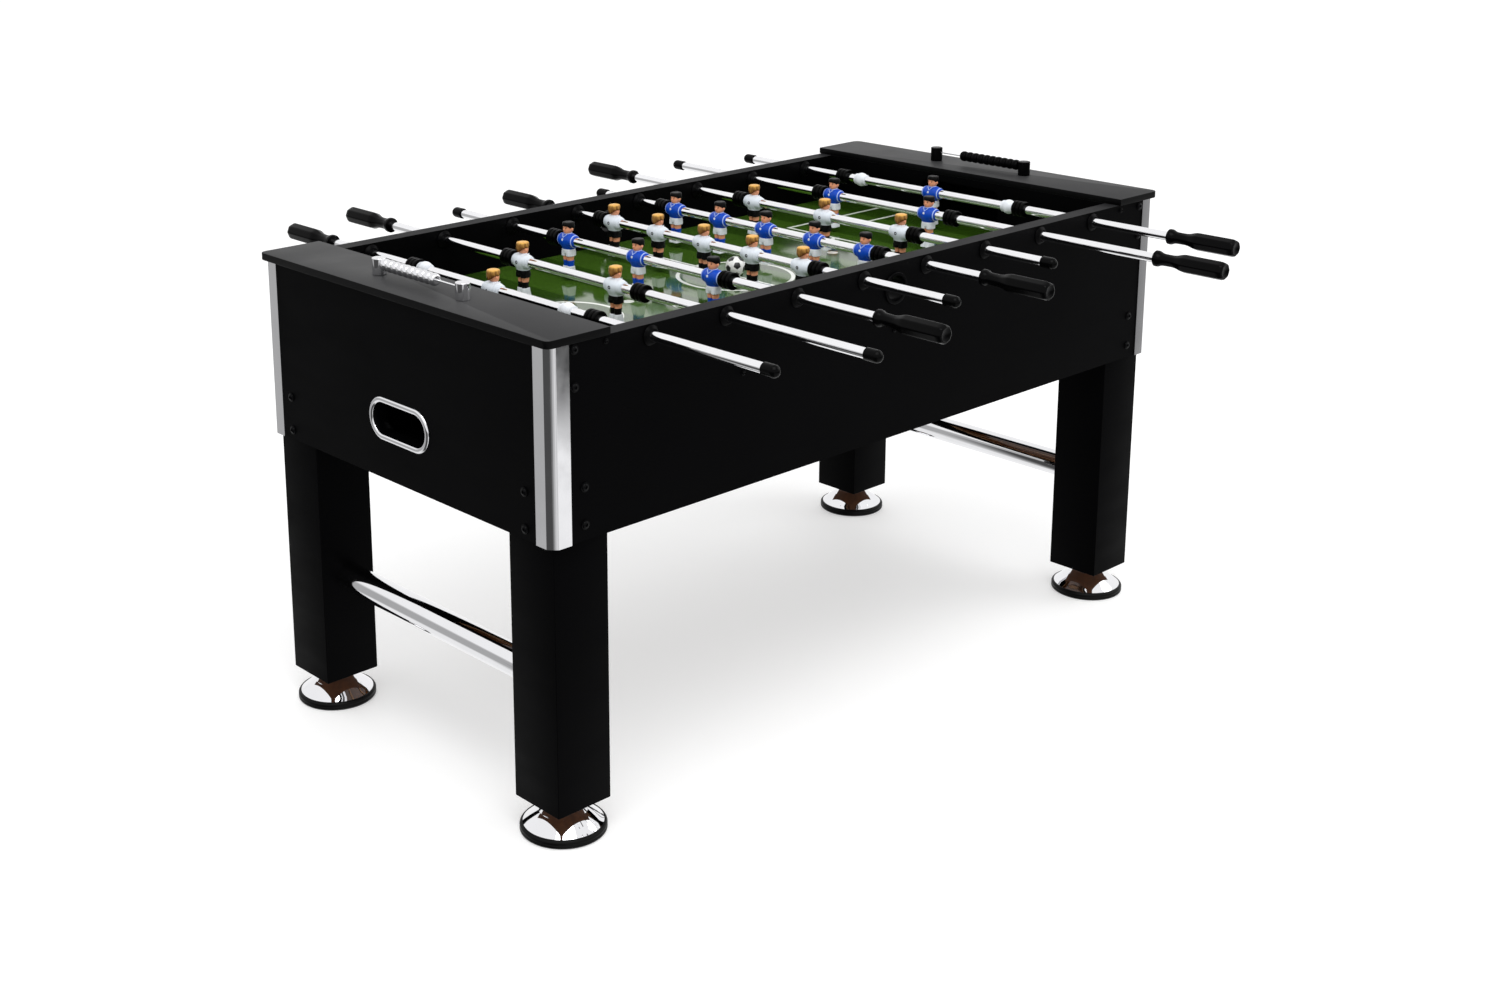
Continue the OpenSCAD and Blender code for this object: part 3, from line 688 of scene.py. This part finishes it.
def feet():
    """Rubber ring with a groove, flared chrome dome, nut and threaded stud."""
    rubber_h, dome_top, nut_top, stud_top = 14.0, 42.9, 52.9, 90.0
    r, ring_in, foot_r, neck_r, hole_r, nut_r = 66.9, 42.0, 62.0, 16.0, 14.0, 11.0
    ring = fillet([(0, ring_in), (0, r - 2.9), (2.5, r), (6, r), (7, r - 0.9), (8, r), (11, r),
                   (rubber_h, r - 2.4), (rubber_h, ring_in)], 1.0, 3)
    dome = [(rubber_h, 58.5), (rubber_h, foot_r - 0.1), (rubber_h + 0.4, foot_r)]
    for k in range(1, 17):
        u = 1 - k / 16
        dome.append((rubber_h + (dome_top - rubber_h) * (1 - u ** 1.35), neck_r + (foot_r - neck_r) * u))
    dome += [(dome_top, hole_r), (40.0, hole_r), (40.0, 29)]
    pitch, turns = 1.75, 27
    thread = [(40, 0)]
    for k in range(turns):
        z = 41.0 + pitch * k
        thread += [(z, 5.3), (z + pitch / 2, 5.98)]
    thread += [(stud_top, 5.0), (stud_top, 0)]
    for corner in CORNERS:
        node = f"leveller_{corner}"
        mid = centre(node)
        at = (mid.x, mid.y, 0)
        bm = bmesh.new()
        add_lathe(bm, ring, at, "Z", 96, 1, closed=True)
        add_lathe(bm, dome, at, "Z", 96, closed=True)
        add_lathe(bm, bar_profile(dome_top + 0.1, nut_top, nut_r, 0.5, 2), at, "Z", 6)
        add_lathe(bm, thread, at, "Z", 32)
        piece(f"foot_{corner}_pad", bm, [DOME_CHROME, FOOT_RUBBER], f"foot_{corner}", [node],
              sharp=28)


# ---------------------------------------------------------------- scorers and ball

def scorers():
    """Round posts, the wire between them, and turned beads."""
    lo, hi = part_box("scorer_frames")
    radius, wire_r = 11.5, 1.6
    top = (hi.z - BOARD_TOP) / MM
    for side, metal, slot in (("left", PLATED, "chrome_plastic"),
                              ("right", BLACK_PLASTIC, "black_plastic")):
        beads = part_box(f"scorer_beads_{side}")
        x = (beads[0].x + beads[1].x) / 2
        wire_z = (beads[0].z + beads[1].z) / 2
        bm = bmesh.new()
        for y in (lo.y + radius * MM, hi.y - radius * MM):
            add_lathe(bm, bar_profile(0, top, radius, 1.2, 5), (x, y, BOARD_TOP), "Z", 56)
        length = (hi.y - lo.y) / MM - 2 * radius
        wire = [(0, 0), (0, wire_r), (length, wire_r), (length, 0)]
        add_lathe(bm, wire, (x, lo.y + radius * MM, wire_z), segments=20, material=1)
        metals = [metal, ROD_CHROME]
        piece(f"scorer_{side}_frame", bm, metals, "cabinet", ["scorer_frames"], sharp=35)
        bm = bmesh.new()
        pitch = (beads[1].y - beads[0].y) / MM / BEADS
        r = (beads[1].z - beads[0].z) / 2 / MM
        a, b, groove = 0.05, pitch - 0.05, 5.2
        bulge = [(a + (b - a) * (0.5 - 0.5 * math.cos(math.pi * j / 20)),
                  r - groove + groove * math.sin(math.pi * j / 20) ** 0.65) for j in range(21)]
        profile = [(a, wire_r + 0.1), *bulge, (b, wire_r + 0.1)]
        for k in range(BEADS):
            add_lathe(bm, profile, (x, beads[0].y + k * pitch * MM, wire_z), segments=40, closed=True)
        piece(f"beads_{side}_row", bm, [metal], f"beads_{side}", [f"scorer_beads_{side}"], sharp=40)


def ball():
    """Football pattern: twelve dark pentagons and white seams between the panels."""
    lo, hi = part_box("ball")
    mid, radius = (lo + hi) / 2, (hi.z - lo.z) / 2
    bm = bmesh.new()
    bmesh.ops.create_icosphere(bm, subdivisions=1, radius=1.0)
    bmesh.ops.bevel(bm, geom=bm.verts[:], offset=0.39, affect="VERTICES")
    bm.normal_update()
    for f in bm.faces:
        f.material_index = 1 if len(f.verts) == 5 else 0
    bmesh.ops.inset_individual(bm, faces=bm.faces[:], thickness=0.012, depth=0.0)
    bmesh.ops.triangulate(bm, faces=[f for f in bm.faces if len(f.verts) > 4])
    bmesh.ops.subdivide_edges(bm, edges=bm.edges[:], cuts=3, use_grid_fill=True)
    spin = Matrix.Rotation(0.55, 3, "X") @ Matrix.Rotation(0.35, 3, "Y")
    for v in bm.verts:
        v.co = spin @ v.co.normalized() * radius
    piece("football", bm, [BALL_WHITE, BALL_BLACK], "ball", ["ball"], at=mid, sharp=60)


# ---------------------------------------------------------------- rods

def rod_parts(i):
    """Tube, bumpers, handle and end cap of rod i."""
    lo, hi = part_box(f"rod_{i}_tube")
    length = (hi.y - lo.y) / MM
    r = ROD_R / MM
    bm = bmesh.new()
    add_lathe(bm, bar_profile(0, length, r, 0.4, 2), (ROD_X[i], lo.y, ROD_Z), segments=72)
    piece(f"rod_{i}_shaft", bm, [ROD_CHROME], f"rod_{i}", [f"rod_{i}_tube"])

    lo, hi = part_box(f"rod_{i}_bumpers")
    outer = (hi.z - lo.z) / 2 / MM
    bore, long = r + 0.05, BUMPER_L / MM
    rib, groove, rib_pitch = 6.0, outer - 3.0, 8.8
    points = [(0, bore), (0, outer - 1.6)]
    for k in range(3):
        a = 0.6 + rib_pitch * k
        points += [(a, outer), (a + rib, outer)]
        if k < 2:
            points += [(a + rib + 0.9, groove), (a + rib + 1.9, groove)]
    points += [(long, outer - 1.6), (long, bore)]
    profile = fillet(points, 1.0, 3)
    bm = bmesh.new()
    for y in (lo.y, hi.y - BUMPER_L):
        add_lathe(bm, profile, (ROD_X[i], y, ROD_Z), segments=56, closed=True)
    piece(f"rod_{i}_bumper_pair", bm, [RUBBER], f"rod_{i}_bumpers", [f"rod_{i}_bumpers"],
          sharp=40)

    lo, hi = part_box(f"rod_{i}_handle")
    far = i in HANDLE_FAR
    s = 1 if far else -1
    inner = hi.y - HANDLE_L if far else lo.y + HANDLE_L
    cap = lo.y + CAP_L if far else hi.y - CAP_L
    bm = bmesh.new()
    add_handle(bm, (ROD_X[i], inner, ROD_Z), s)
    cap_r = 9.6
    dome = [(0, 0), (0, cap_r - 0.4), (0.5, cap_r)]
    dome += [(CAP_L / MM - cap_r + cap_r * math.sin(a), cap_r * math.cos(a)) for a in
             (math.pi / 2 * k / 10 for k in range(11))]
    add_lathe(bm, dome, (ROD_X[i], cap, ROD_Z), segments=40, flip=-s)
    piece(f"rod_{i}_grip", bm, [GRIP], f"rod_{i}", [f"rod_{i}_handle"], sharp=38)


# Place along the handle in mm, radius in mm, and 0 for a round section to 1 for an eight-sided one.
GRIP_STATIONS = [(0, 12.6, 0), (0.6, 13.4, 0), (5.0, 13.5, 0), (7.5, 12.9, 0), (10.5, 11.4, 0),
                 (15, 10.3, 0.1), (24, 10.0, 0.3), (34, 10.0, 0.5), (41, 10.9, 0.7), (49, 13.2, 0.9),
                 (54, 14.2, 1), (58, 14.5, 1), (118, 14.5, 1), (124, 14.3, 1), (128, 13.2, 0.9),
                 (129.6, 11.9, 0.7), (130, 10.6, 0.4), (129.2, 9.4, 0), (129.0, 0.05, 0)]


def add_handle(bm, at, s):
    """Round flange and waist that swell into an eight-sided grip with a chamfered end."""
    rings = []
    count, half_side = 80, math.pi / 8
    for along, radius, square in GRIP_STATIONS:
        ring = []
        for k in range(count):
            t = TAU * k / count
            wedge = (t + half_side) % (2 * half_side) - half_side
            facet = 1 / max(math.cos(wedge), 0.94)
            reach = radius * ((1 - square) + square * facet)
            x, z = reach * math.cos(t + half_side), reach * math.sin(t + half_side)
            ring.append(Vector(at) + Vector((x, s * along, z)) * MM)
        rings.append(ring)
    add_loft(bm, rings)


# ---------------------------------------------------------------- men

# Places in the material list of a man.
SHIRT_M, SHORTS_M, SKIN_M, SOCKS_M, WHITE_M, HAIR_M, TRIM_M, BLACK_M, LIPS_M = range(9)


def add_sleeves(bm):
    """Short sleeves that end on the rod, each with a band near its hem."""
    sleeve = fillet([(8, 0), (8, 12.5), (13, 12.3), (17.2, 10.6), (19.9, 9.9), (19.9, 8.0), (19.9, 0)],
                    1.0, 3)
    band = [(16.6, 9.5), (16.8, 11.2), (18.4, 10.7), (18.6, 9.2)]
    for s in (-1, 1):
        add_lathe(bm, sleeve, (0, 0, 0), "Y", 40, SHIRT_M, flip=s)
        add_lathe(bm, band, (0, 0, 0), "Y", 40, TRIM_M, flip=s)


# Sections of a head for add_stack, and the shares of height and width up the hair.
HEAD = [(11.4, 2.2, 3.2, 3.0, 2.2), (12.6, 2.0, 5.2, 4.8, 2.2), (15.0, 1.2, 7.6, 7.0, 2.2),
        (18.5, 0.5, 9.0, 8.4, 2.2), (22.5, 0.0, 9.6, 8.9, 2.2), (26.5, -0.2, 9.5, 9.0, 2.2),
        (29.5, -0.3, 8.8, 8.3, 2.2), (31.3, -0.3, 6.8, 6.6, 2.2), (32.0, -0.3, 0.3, 0.3, 2.2)]
HAIR = [(0.0, 0.90), (0.03, 0.99), (0.12, 1.03), (0.45, 1.02), (0.72, 1.0), (0.86, 0.97), (0.94, 0.90),
        (0.98, 0.80), (0.995, 0.60), (1.0, 0.30), (1.0, 0.02)]


def hairline(angle):
    """Height in mm where the hair starts, by the angle round the head from the face."""
    front = (1 + math.cos(angle)) / 2
    return 16.0 + 10.2 * front ** 0.45 - 2.0 * math.exp(-((abs(angle) - 1.25) / 0.25) ** 2)


def add_hair(bm):
    """Flat-topped block of hair with a small fringe over the face and combed locks."""
    segments, top = 72, 33.0
    rings = []
    for part, width in HAIR:
        ring = []
        for k in range(segments):
            t = TAU * k / segments
            low = hairline((t + math.pi) % TAU - math.pi)
            z = low + (top - low) * part
            fringe = 1 + 0.05 * max(0.0, math.cos(t)) * (1 - part)
            lock = 1 + 0.014 * math.sin(13 * t + 6 * part) * (1 - part)
            r = width * fringe * lock
            c, s = math.cos(t), math.sin(t)
            x = -0.3 + 10.3 * r * math.copysign(abs(c) ** 0.85, c)
            y = 9.8 * r * math.copysign(abs(s) ** 0.85, s)
            ring.append(Vector((x, y, z)) * MM)
        rings.append(ring)
    add_loft(bm, rings, HAIR_M)


def add_strand(bm, a, b, radius, material):
    """Thin round bar from a to b, in mm."""
    a, b = Vector(a), Vector(b)
    turn = (b - a).to_track_quat("Z", "Y")
    spokes = [turn @ Vector((radius * math.cos(t), radius * math.sin(t), 0)) for t in
              (TAU * k / 8 for k in range(8))]
    add_loft(bm, [[(point + spoke) * MM for spoke in spokes] for point in (a, b)], material)


def add_face(bm):
    """Head with hair, ears, eyes, brows, nose and mouth."""
    add_stack(bm, HEAD, material=SKIN_M, segments=48)
    add_hair(bm)
    for s in (-1, 1):
        add_ball(bm, (-0.6, s * 9.2, 20.6), (1.9, 1.1, 2.5), SKIN_M)
        add_ball(bm, (8.7, s * 3.6, 22.4), (0.9, 1.2, 0.8), BLACK_M, 8, 14)
        add_ball(bm, (8.5, s * 3.7, 24.4), (0.8, 1.8, 0.45), HAIR_M, 8, 14)
    add_ball(bm, (9.8, 0, 20.0), (1.8, 1.3, 2.0), SKIN_M)
    add_ball(bm, (8.6, 0, 16.2), (0.9, 2.4, 0.6), LIPS_M, 8, 14)


def man_mesh(name, shirt, shorts, socks, hair, trim, badge):
    """One man round the rod axis, facing +X, soles down."""
    bm = bmesh.new()
    materials = [shirt, shorts, SKIN, socks, PAINT_WHITE, hair, trim, PAINT_BLACK, LIPS]
    torso = [(13.2, 0, 5.2, 6.0, 2.0), (12.0, 0, 7.4, 9.4, 2.1), (9.6, -0.1, 10.6, 14.2, 2.2),
             (5.5, -0.2, 13.2, 17.8, 2.2), (0.5, -0.3, 14.3, 18.8, 2.2), (-4.5, -0.2, 13.8, 17.6, 2.2),
             (-9.0, -0.1, 12.1, 14.9, 2.2), (-12.8, 0, 10.2, 12.5, 2.3), (-14.8, 0, 9.6, 11.8, 2.4),
             (-15.0, 0, 9.0, 11.2, 2.4)]
    add_stack(bm, torso[::-1], material=SHIRT_M, segments=48)
    add_sleeves(bm)
    neck = [(9.5, 0.3, 5.6, 5.6, 2.0), (13.5, 0.6, 5.0, 5.0, 2.0), (17.0, 0.8, 5.4, 5.2, 2.0)]
    add_stack(bm, neck, material=SKIN_M)
    neckband = fillet([(11.2, 5.4), (12.0, 7.6), (13.4, 7.0), (14.0, 5.6)], 0.5, 2)
    add_lathe(bm, neckband, (0.4 * MM, 0, 0), "Z", 36, TRIM_M, closed=True)
    add_face(bm)
    for s in (-1, 1):
        add_strand(bm, (8.4, s * 5.4, 12.2), (12.4, 0.0, 6.6), 0.8, TRIM_M)
    hips = [(-13.8, 0, 9.0, 11.2, 2.5), (-15.4, 0, 9.9, 12.1, 2.6), (-19.5, 0, 9.9, 12.1, 2.7),
            (-22.5, 0, 9.5, 11.8, 2.7)]
    add_stack(bm, hips[::-1], material=SHORTS_M, segments=48)
    for s in (-1, 1):
        short = [(-18.5, 0, 9.4, 5.8, 2.7), (-23.5, 0, 9.5, 6.0, 2.7), (-26.8, 0, 9.4, 6.0, 2.7),
                 (-27.2, 0, 8.7, 5.4, 2.7)]
        add_stack(bm, short[::-1], s * 5.9, SHORTS_M)
        leg = [(-25.5, 0.2, 6.9, 4.9, 2.3), (-29.5, 0.4, 6.9, 4.8, 2.3), (-32.0, 0.6, 6.8, 4.7, 2.3),
               (-36.0, 0.2, 6.2, 4.5, 2.2)]
        add_stack(bm, leg[::-1], s * 5.0, SKIN_M)
        sock = [(-35.2, 0, 6.0, 4.5, 2.3), (-35.6, 0, 7.0, 4.9, 2.4), (-37.8, 0, 6.9, 4.9, 2.4),
                (-38.4, 0, 6.4, 4.7, 2.4), (-43.0, -0.1, 6.4, 4.7, 2.4), (-48.0, 0, 6.4, 4.7, 2.4)]
        add_stack(bm, sock[::-1], s * 4.9, SOCKS_M)
        boot = [(-45.4, 0, 6.4, 4.6, 3.0), (-46.0, 0.1, 7.3, 4.9, 3.2), (-50.0, 0.2, 7.9, 5.0, 3.6),
                (-55.0, 0.5, 8.6, 5.1, 4.2), (-61.2, 0.8, 9.6, 5.2, 5.0), (-61.9, 0.8, 9.0, 4.8, 5.0)]
        add_stack(bm, boot[::-1], s * 5.2, WHITE_M)
    screw = [(-13.0, 0), (-13.0, 2.9), (-14.8, 2.8), (-15.1, 2.3), (-14.4, 0.9), (-14.2, 0)]
    add_lathe(bm, screw, (0, 0, 0), "X", 24, BLACK_M)
    if badge:
        disc = [(12.6, 0), (12.6, 2.2), (14.15, 2.1), (14.25, 0)]
        add_lathe(bm, disc, (0, -0.8 * MM, 2.8 * MM), "X", 20, WHITE_M)
    return finish_mesh(name, bm, materials, 40)


def collar_mesh():
    """Round stop collar of a goalkeeper rod with its screw."""
    bm = bmesh.new()
    profile = [(-13, 7.9), (-13, 9.6), (-12.4, 10.6), (-10, 10.9)]
    profile += [(13.4 * math.sin(a), 13.4 * math.cos(a)) for a in
                (math.radians(-36 + 72 * k / 16) for k in range(17))]
    profile += [(10, 10.9), (12.4, 10.6), (13, 9.6), (13, 7.9)]
    add_lathe(bm, profile, (0, 0, 0), "Y", 56, closed=True)
    screw = [(-12.2, 0), (-12.2, 3.0), (-13.0, 2.9), (-13.2, 2.4), (-12.6, 0.7), (-12.4, 0)]
    add_lathe(bm, screw, (0, 0, 0), "X", 24, 1)
    return finish_mesh("stop_collar", bm, [PAINT_WHITE, STEEL], 40)


def men():
    """The men of every rod and the goalkeepers' stop collars, from three shared meshes."""
    white = man_mesh("man_white", SHIRT_WHITE, PAINT_BLACK, PAINT_BLACK, BLOND, SHIRT_WHITE, False)
    blue = man_mesh("man_blue", SHIRT_BLUE, PAINT_WHITE, SHIRT_BLUE, DARK_HAIR, TRIM_BLUE, True)
    collar = collar_mesh()
    for i in RODS:
        is_white = i in WHITE_RODS
        turn = 0.0 if is_white else math.pi
        for k, y in enumerate(men_places(i)):
            piece(f"rod_{i}_man_{k + 1}", white if is_white else blue, None, f"rod_{i}",
                  [f"rod_{i}_men"], (ROD_X[i], y, ROD_Z), turn)
        if MEN_ON_ROD[i] == 1:
            lo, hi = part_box(f"rod_{i}_men")
            for k, y in enumerate((lo.y + COLLAR_L / 2, hi.y - COLLAR_L / 2)):
                piece(f"rod_{i}_collar_{k + 1}", collar, None, f"rod_{i}", [f"rod_{i}_men"],
                      (ROD_X[i], y, ROD_Z), turn)


# ---------------------------------------------------------------- studio

def surroundings():
    """White world. Reflections see soft grey and dark panels in it, low down towards the viewer."""
    world = bpy.data.worlds.new("studio")
    world.use_nodes = True
    bpy.context.scene.world = world
    p = Wiring(world.node_tree)
    x, y, z = p.xyz(p.nodes.new("ShaderNodeTexCoord").outputs["Generated"])
    around = p.math("ARCTAN2", y, x)

    def bell(angle, width):
        """1 towards an angle in degrees round Z, falling to 0 at the width."""
        near = p.math("COSINE", p.math("SUBTRACT", around, math.radians(angle)))
        return p.spread(near, 0.0, 1.0, math.cos(math.radians(width)), 1.0)

    low = p.spread(z, 1.0, 0.0, -0.10, 0.05)
    dark = p.math("MULTIPLY", bell(185, 55), 1.7, clamp=True)
    window = p.math("MULTIPLY", bell(295, 65), p.spread(z, 0.0, 1.1, -0.33, -0.295), clamp=True)
    skyline = p.math("MULTIPLY", p.spread(z, 0.6, 0.0, 0.10, 0.24), p.spread(z, 0.1, 1.0, -0.47, -0.37))
    grey = p.math("MULTIPLY", p.math("MULTIPLY", bell(130, 45), 1.3, clamp=True), skyline)
    shade = p.math("MAXIMUM", grey, p.math("MULTIPLY", low, p.math("MAXIMUM", dark, window)))
    level = p.math("SUBTRACT", 1.0, p.math("MULTIPLY", shade, 0.93))
    mirror = p.nodes.new("ShaderNodeLightPath").outputs["Is Glossy Ray"]
    strength = p.math("ADD", p.math("MULTIPLY", mirror, level), p.math("SUBTRACT", 1.0, mirror))
    back = p.nodes["Background"]
    back.inputs["Color"].default_value = (1, 1, 1, 1)
    p.link(strength, back.inputs["Strength"])


def studio():
    """Pale floor, white surroundings and soft lights."""
    bpy.ops.mesh.primitive_plane_add(size=60, location=(0, 0, 0))
    floor = bpy.context.object
    floor.name = "studio_floor"
    floor.data.materials.append(FLOOR)
    floor.visible_glossy = False

    bpy.context.scene.view_settings.view_transform = "Standard"
    surroundings()

    def soft_box(name, place, target, size, power):
        light = bpy.data.lights.new(name, "AREA")
        light.shape = "RECTANGLE"
        light.size, light.size_y = size
        light.energy = power
        obj = bpy.data.objects.new(name, light)
        bpy.context.scene.collection.objects.link(obj)
        obj.location = place
        obj.rotation_mode = "QUATERNION"
        obj.rotation_quaternion = (Vector(target) - Vector(place)).to_track_quat("-Z", "Y")

    soft_box("key", (-1.2, -1.4, 3.6), (0, 0, 0.7), (2.4, 2.4), 60)
    soft_box("fill", (2.6, -2.0, 2.4), (0, 0, 0.6), (2.0, 2.0), 25)


def camera():
    """The photo's camera: place, heading, lens and shift."""
    cam = bpy.data.objects.new("camera", bpy.data.cameras.new("camera"))
    bpy.context.scene.collection.objects.link(cam)
    bpy.context.scene.camera = cam
    place = (-2.3660, -2.3616, 1.5319)
    yaw, pitch, roll = math.radians(48.364), math.radians(14.175), math.radians(-0.562)
    forward = Vector((math.cos(pitch) * math.cos(yaw), math.cos(pitch) * math.sin(yaw), -math.sin(pitch)))
    right = forward.cross(Vector((0, 0, 1))).normalized()
    up = right.cross(forward)
    across = right * math.cos(roll) + up * math.sin(roll)
    upward = up * math.cos(roll) - right * math.sin(roll)
    turn = Matrix((across, upward, -forward)).transposed().to_4x4()
    cam.matrix_world = Matrix.Translation(place) @ turn
    cam.data.sensor_fit = "HORIZONTAL"
    cam.data.sensor_width = 36.0
    cam.data.lens = 46.756
    cam.data.shift_x = 0.085
    cam.data.shift_y = -0.148
    cam.data.clip_start = 0.05
    cam.data.clip_end = 200


studio()
camera()
repaint(PANEL, "side_panel_near", "side_panel_far", "end_panel_left", "end_panel_right", "goal_walls")
repaint(TURF, "playfield")
repaint(PINE, "playfield_battens")
repaint(BLACK_PLASTIC, "ball_return_cups")
top_boards()
legs()
cross_bars()
corner_trims()
fasteners()
bearings()
return_rims()
entry_cups()
feet()
scorers()
ball()
for number in RODS:
    rod_parts(number)
men()
